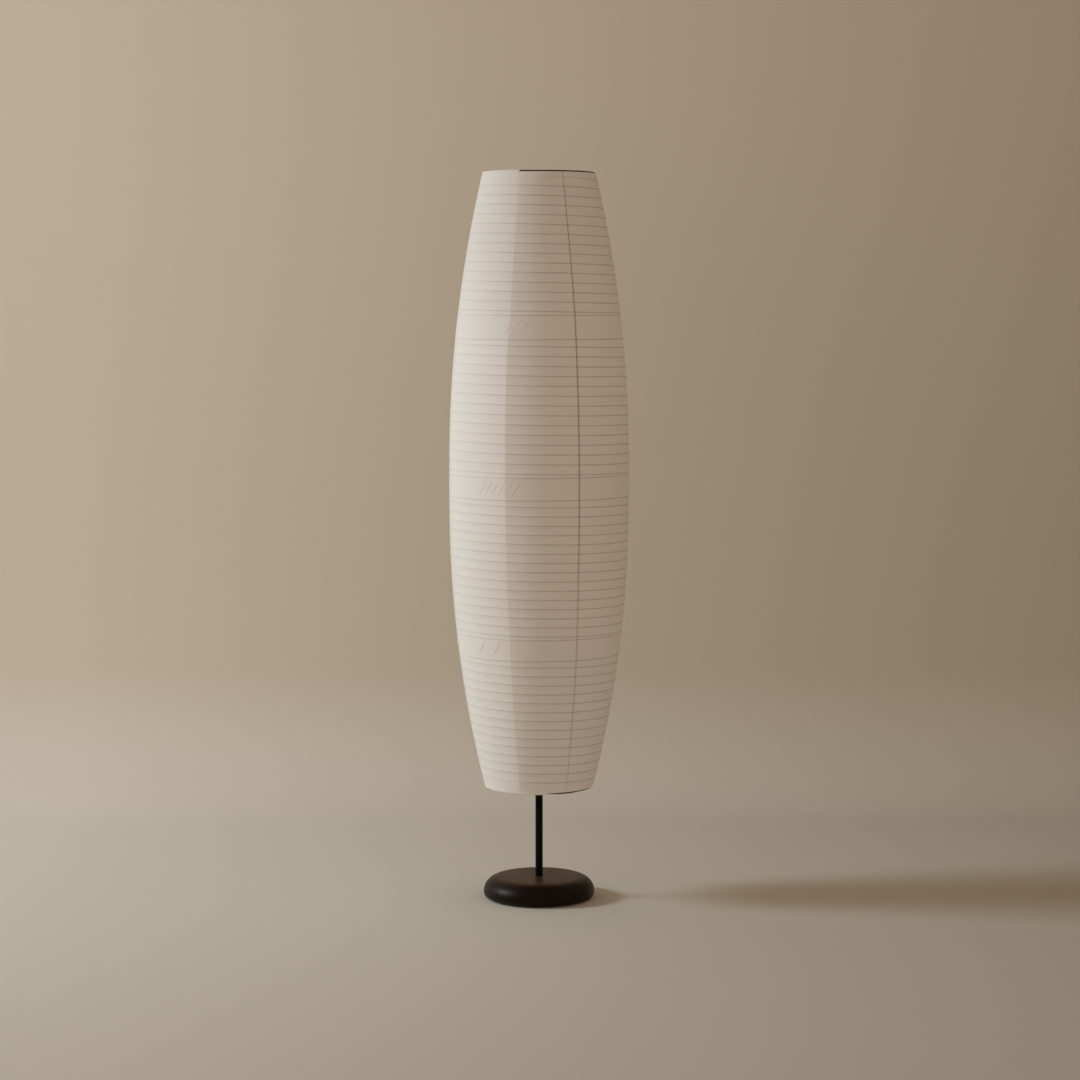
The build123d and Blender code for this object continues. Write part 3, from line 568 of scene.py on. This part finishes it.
def paper_stations(angle):
    """Stations down a column of the sheet: height, strength of the wire there, and bulge."""
    lines = [(SHEET_TOP_Z, 0.0)]
    bands = set()
    for coil in COILS:
        bands.add(len(lines) - 1)
        lines += coil.crossings(angle)
    bands.add(len(lines) - 1)
    lines.append((SHEET_FOOT_Z, 0.0))
    stations = []
    for count, ((high, strong), (low, next_strong)) in enumerate(zip(lines, lines[1:])):
        drop = high - low
        shoulder = min(RIB_SHOULDER / drop, RIB_SHOULDER_MOST)
        stations.append((high, strong, RIB_RIDGE * strong))
        shares = [row / BAND_ROWS for row in range(1, BAND_ROWS)] if count in bands else [0.5]
        sag = PAPER_SAG * min(drop / RIB_PITCH, 1.0) * min(strong, next_strong)
        for share in sorted([shoulder, *shares, 1 - shoulder]):
            bulge = 0.0 if count in bands else -sag * 4 * share * (1 - share)
            stations.append((high - drop * share, 0.0, bulge))
    stations.append((*lines[-1], 0.0))
    return stations


def rib_contrast(angle):
    """Lines fade on the side that light strikes squarely."""
    return RIB_CONTRAST - RIB_CONTRAST_LOSS * max(cos(radians(angle - KEY_SIDE_ANGLE)), 0.0)


def hem_cover(angle, z):
    """Share to which the nearer rim's hem lies over the paper at an angle."""
    hem, slant = (TOP_HEM, TOP_SLANT) if z > BELLY_HIGH_Z else (FOOT_HEM, FOOT_SLANT)
    return ease(1 - max(hem[0] + slant - angle, angle - hem[1] + slant) / HEM_LINE_FADE)


def rim_fade(angle, z):
    """Wires close under a rim don't show through the paper, and fewer show through a hem."""
    hides = RIM_HIDES + (HEM_HIDES - RIM_HIDES) * hem_cover(angle, z)
    return ease((min(z - FOOT_Z, TOP_Z - z) - hides) / RIM_FADE)


def painted_shade_to_top(z):
    """Painted shade: the paper's painted lighter tone is strongest about the belly and drops towards the
    upper rim.
    """
    return 1 - TONE_DROP * ease((z - TONE_FADE_Z) / TONE_FADE)


def make_shade():
    """The paper sheet: outer and inner skins, closed along the rims and the seam."""
    columns = paper_columns()
    outer, inner, painted_shadows, seam_glue_and_shadow, tones = [], [], [], [], []
    for angle, lift, seam, tone in columns:
        stations = paper_stations(angle)
        for z, strength, bulge in stations:
            shows = rim_fade(angle, z)
            radius = paper_radius(angle, z) + lift + bulge * shows
            turn = angle + lean(angle, z)
            outer.append(at(turn, radius, z))
            inner.append(at(turn, radius - PAPER, z))
            # Painted shadow of the wire, weaker where the lamp strikes squarely and near the rims.
            painted_shadows.append(strength * rib_contrast(angle) * shows)
            seam_glue_and_shadow.append(seam * between(SEAM_GLUE_AND_SHADOW, z))
            tones.append(tone * painted_shade_to_top(z))
    rows = len(stations)
    skin = len(outer)
    faces = []
    for column in range(len(columns) - 1):
        for row in range(rows - 1):
            here = column * rows + row
            quad = (here, here + 1, here + rows + 1, here + rows)
            faces.append(quad)
            faces.append(tuple(skin + corner for corner in reversed(quad)))
        for rim in (column * rows, column * rows + rows - 1):
            faces.append((rim, rim + rows, skin + rim + rows, skin + rim))
    for edge in (0, (len(columns) - 1) * rows):
        for row in range(edge, edge + rows - 1):
            faces.append((row, row + 1, skin + row + 1, skin + row))
    shade = add_piece("paper_shade_sheet", outer + inner, faces, "shade_paper", "stand")
    for name, values in (("painted_shadow", painted_shadows), ("seam", seam_glue_and_shadow), ("tone", tones)):
        add_values(shade, name, values + values)
    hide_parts("paper_shade")
    collapse(shade)


make_shade()


class Hem:
    """Paper turned over a ring: a skirt that lies on the sheet, then round the ring to the inside."""

    def __init__(self, ring_radius, ring_z, up):
        self.ring_radius = ring_radius
        self.ring_z = ring_z
        self.up = up

    def point(self, angle, share, skin):
        """Point of the hem's outer face, or one skin inside it, at a share of the way round."""
        proud = shade_radius(self.ring_z) + HEM_PROUD
        if share < HEM_SKIRT_SHARE:
            climb = share / HEM_SKIRT_SHARE
            z = self.ring_z - self.up * HEM_SKIRT * (1 - climb)
            tucked = paper_radius(angle, z) - HEM_TUCK
            return at(angle, tucked + (proud - tucked) * ease(climb) - skin, z)
        turn = radians(HEM_OVER * (share - HEM_SKIRT_SHARE) / (1 - HEM_SKIRT_SHARE))
        radius = self.ring_radius + (proud - skin - self.ring_radius) * cos(turn)
        return at(angle, radius, self.ring_z + self.up * (HEM_CAP + PAPER - skin) * sin(turn))


def make_hem(name, hem, angles, slant):
    """One hem, cut at a slant where it ends."""
    count = ceil((angles[1] - angles[0]) / HEM_STEP)
    points = []
    for step in range(count + 1):
        angle = angles[0] + (angles[1] - angles[0]) * step / count
        first = HEM_END_SHARE * clamp(1 - min(angle - angles[0], angles[1] - angle) / slant)
        shares = [first + (1 - first) * place / HEM_POINTS for place in range(HEM_POINTS + 1)]
        points += [hem.point(angle, share, 0.0) for share in shares]
        points += [hem.point(angle, share, PAPER) for share in reversed(shares)]
    piece = add_piece(name, points, tube_faces(count + 1, 2 * HEM_POINTS + 2), "shade_paper", "stand")
    add_values(piece, "tone", [HEM_PAINTED_LIGHT * painted_shade_to_top(hem.ring_z)] * len(points))
    collapse(piece)


make_hem("top_hem", Hem(TOP_RING_RADIUS, TOP_Z - RING_WIRE / 2, 1), TOP_HEM, TOP_SLANT)
make_hem("foot_hem", Hem(FOOT_RING_RADIUS, FOOT_Z + RING_WIRE / 2, -1), FOOT_HEM, FOOT_SLANT)


def folds():
    """Each fold's foot angle and height, head angle and height, width and tone (painted highlight on a
    ridge, painted shade in a valley), band by band.
    """
    found = []
    for (first, last, count, slant), upper, lower in zip(PINCHES, COILS, COILS[1:]):
        high, low = upper.levels[-1], lower.levels[0]
        foot_z = low + (high - low) * PINCH_FOOT
        head_z = low + (high - low) * PINCH_HEAD
        for fold in range(count):
            valley = first + (last - first) * fold / (count - 1)
            ridge = valley + FOLD_STEP
            found.append((valley, foot_z, valley + slant, head_z, VALLEY_WIDTH, VALLEY_PAINTED_SHADE))
            found.append((ridge, foot_z, ridge + slant, head_z, RIDGE_WIDTH, RIDGE_PAINTED_HIGHLIGHT))
    return found


def make_creases():
    """Folds in the plain bands: thin tapered slivers, with a painted highlight on a ridge and painted
    shade in a valley.
    """
    points, faces, tones, painted_shadows = [], [], [], []
    for foot_angle, foot_z, head_angle, head_z, width, tone in folds():
        base = len(points)
        for step in range(CREASE_STEPS + 1):
            share = step / CREASE_STEPS
            taper = max(sin(pi * share), CREASE_TIP) ** CREASE_TAPER
            z = foot_z + (head_z - foot_z) * share
            angle = foot_angle + (head_angle - foot_angle) * share
            half_angle = degrees(width * taper / 2 / shade_radius(z))
            for side, height in CREASE_SECTION:
                turn = angle + side * half_angle
                radius = paper_radius(turn, z) + CREASE_RISE * height
                points.append(at(turn, radius, z))
                # Ridges take a painted highlight through the tone; valleys take painted shade through the
                # dark line values.
                tones.append(max(tone, GORE_PAINTED_LIGHT[-1]) * painted_shade_to_top(z))
                painted_shadows.append(max(-tone, 0.0))
        for face in tube_faces(CREASE_STEPS + 1, len(CREASE_SECTION)):
            faces.append(tuple(base + corner for corner in face))
    creases = add_piece("paper_creases", points, faces, "shade_paper", "stand")
    add_values(creases, "tone", tones)
    add_values(creases, "painted_shadow", painted_shadows)
    collapse(creases)


make_creases()


# Stage, lamps and camera


def stage_material():
    """Warm matt backdrop with painted shade towards the right, away from the lamp, and clear when seen
    from behind.
    """
    nodes = Nodes("stage_beige")
    axes = nodes.add("ShaderNodeSeparateXYZ")
    nodes.link(nodes.place, axes.inputs["Vector"])
    across = nodes.spread(axes.outputs["X"], 0.0, 1.0, *STAGE_FADE_X)
    tone = nodes.mix(across, STAGE_LEFT_COLOUR, STAGE_RIGHT_COLOUR)
    nodes.link(tone, nodes.shader.inputs["Base Color"])
    nodes.set(Roughness=0.95, Specular_IOR_Level=0.1)
    sides = nodes.add("ShaderNodeMixShader")
    nodes.link(nodes.add("ShaderNodeNewGeometry").outputs["Backfacing"], sides.inputs["Fac"])
    nodes.link(nodes.shader.outputs["BSDF"], sides.inputs[1])
    nodes.link(nodes.add("ShaderNodeBsdfTransparent").outputs["BSDF"], sides.inputs[2])
    nodes.link(sides.outputs["Shader"], nodes.tree.nodes["Material Output"].inputs["Surface"])
    return nodes.material


def make_stage():
    """Floor that bends up into a backdrop."""
    line = [(STAGE_FRONT_Y, 0.0)]
    for step in range(STAGE_BEND_STEPS + 1):
        turn = pi / 2 * step / STAGE_BEND_STEPS
        line.append((STAGE_BEND_Y + STAGE_BEND_RADIUS * sin(turn), STAGE_BEND_RADIUS * (1 - cos(turn))))
    line.append((STAGE_BEND_Y + STAGE_BEND_RADIUS, STAGE_HEIGHT))
    points = [(side * STAGE_HALF_WIDTH, y, z) for y, z in line for side in (-1, 1)]
    faces = [(2 * row, 2 * row + 1, 2 * row + 3, 2 * row + 2) for row in range(len(line) - 1)]
    mesh = bpy.data.meshes.new("stage")
    mesh.from_pydata(points, [], faces)
    mesh.shade_smooth()
    mesh.materials.append(stage_material())
    stage = bpy.data.objects.new("stage", mesh)
    bpy.context.scene.collection.objects.link(stage)


def make_key():
    """One soft lamp from the left."""
    lamp = bpy.data.lights.new("key", "AREA")
    lamp.shape = "ELLIPSE"
    lamp.size = KEY_WIDTH
    lamp.size_y = KEY_HEIGHT
    lamp.spread = radians(KEY_SPREAD)
    lamp.energy = KEY_POWER
    lamp.color = KEY_COLOUR
    key = bpy.data.objects.new("key", lamp)
    bpy.context.scene.collection.objects.link(key)
    aim = Vector((0, 0, AIM_HEIGHT))
    reach = KEY_DISTANCE * cos(radians(KEY_ELEVATION))
    key.location = aim + at(KEY_SIDE_ANGLE, reach, KEY_DISTANCE * sin(radians(KEY_ELEVATION)))
    key.rotation_euler = (aim - key.location).to_track_quat("-Z", "Y").to_euler()


def make_world():
    """Warm light all round, weaker from above, that is seen and mirrored as a plain backdrop."""
    world = bpy.data.worlds.new("room")
    world.use_nodes = True
    tree = world.node_tree
    axes = tree.nodes.new("ShaderNodeSeparateXYZ")
    tree.links.new(tree.nodes.new("ShaderNodeTexCoord").outputs["Generated"], axes.inputs["Vector"])
    rise = tree.nodes.new("ShaderNodeValToRGB")
    rise.color_ramp.elements[0].color = (*WORLD_SIDE_COLOUR, 1.0)
    rise.color_ramp.elements[1].color = (*WORLD_TOP_COLOUR, 1.0)
    tree.links.new(axes.outputs["Z"], rise.inputs["Fac"])
    rays = tree.nodes.new("ShaderNodeLightPath").outputs
    seen = rays["Is Camera Ray"]
    for kind in ("Is Glossy Ray", "Is Transmission Ray"):
        either = tree.nodes.new("ShaderNodeMath")
        either.operation = "MAXIMUM"
        tree.links.new(seen, either.inputs[0])
        tree.links.new(rays[kind], either.inputs[1])
        seen = either.outputs["Value"]
    mixed = tree.nodes.new("ShaderNodeMix")
    mixed.data_type = "RGBA"
    mixed.inputs[7].default_value = (*WORLD_SEEN_COLOUR, 1.0)
    tree.links.new(seen, mixed.inputs["Factor"])
    tree.links.new(rise.outputs["Color"], mixed.inputs[6])
    tree.links.new(mixed.outputs[2], tree.nodes["Background"].inputs["Color"])
    bpy.context.scene.world = world


def make_camera():
    """Camera at the photograph's height and tilt."""
    view = bpy.data.cameras.new("camera")
    view.lens = CAMERA_LENS
    view.sensor_width = CAMERA_SENSOR
    camera = bpy.data.objects.new("camera", view)
    camera.location = CAMERA_PLACE
    camera.rotation_euler = (radians(90 - CAMERA_DOWN_TILT), 0, 0)
    bpy.context.scene.collection.objects.link(camera)
    bpy.context.scene.camera = camera


make_stage()
make_key()
make_world()
make_camera()
bpy.context.scene.view_settings.view_transform = "Standard"
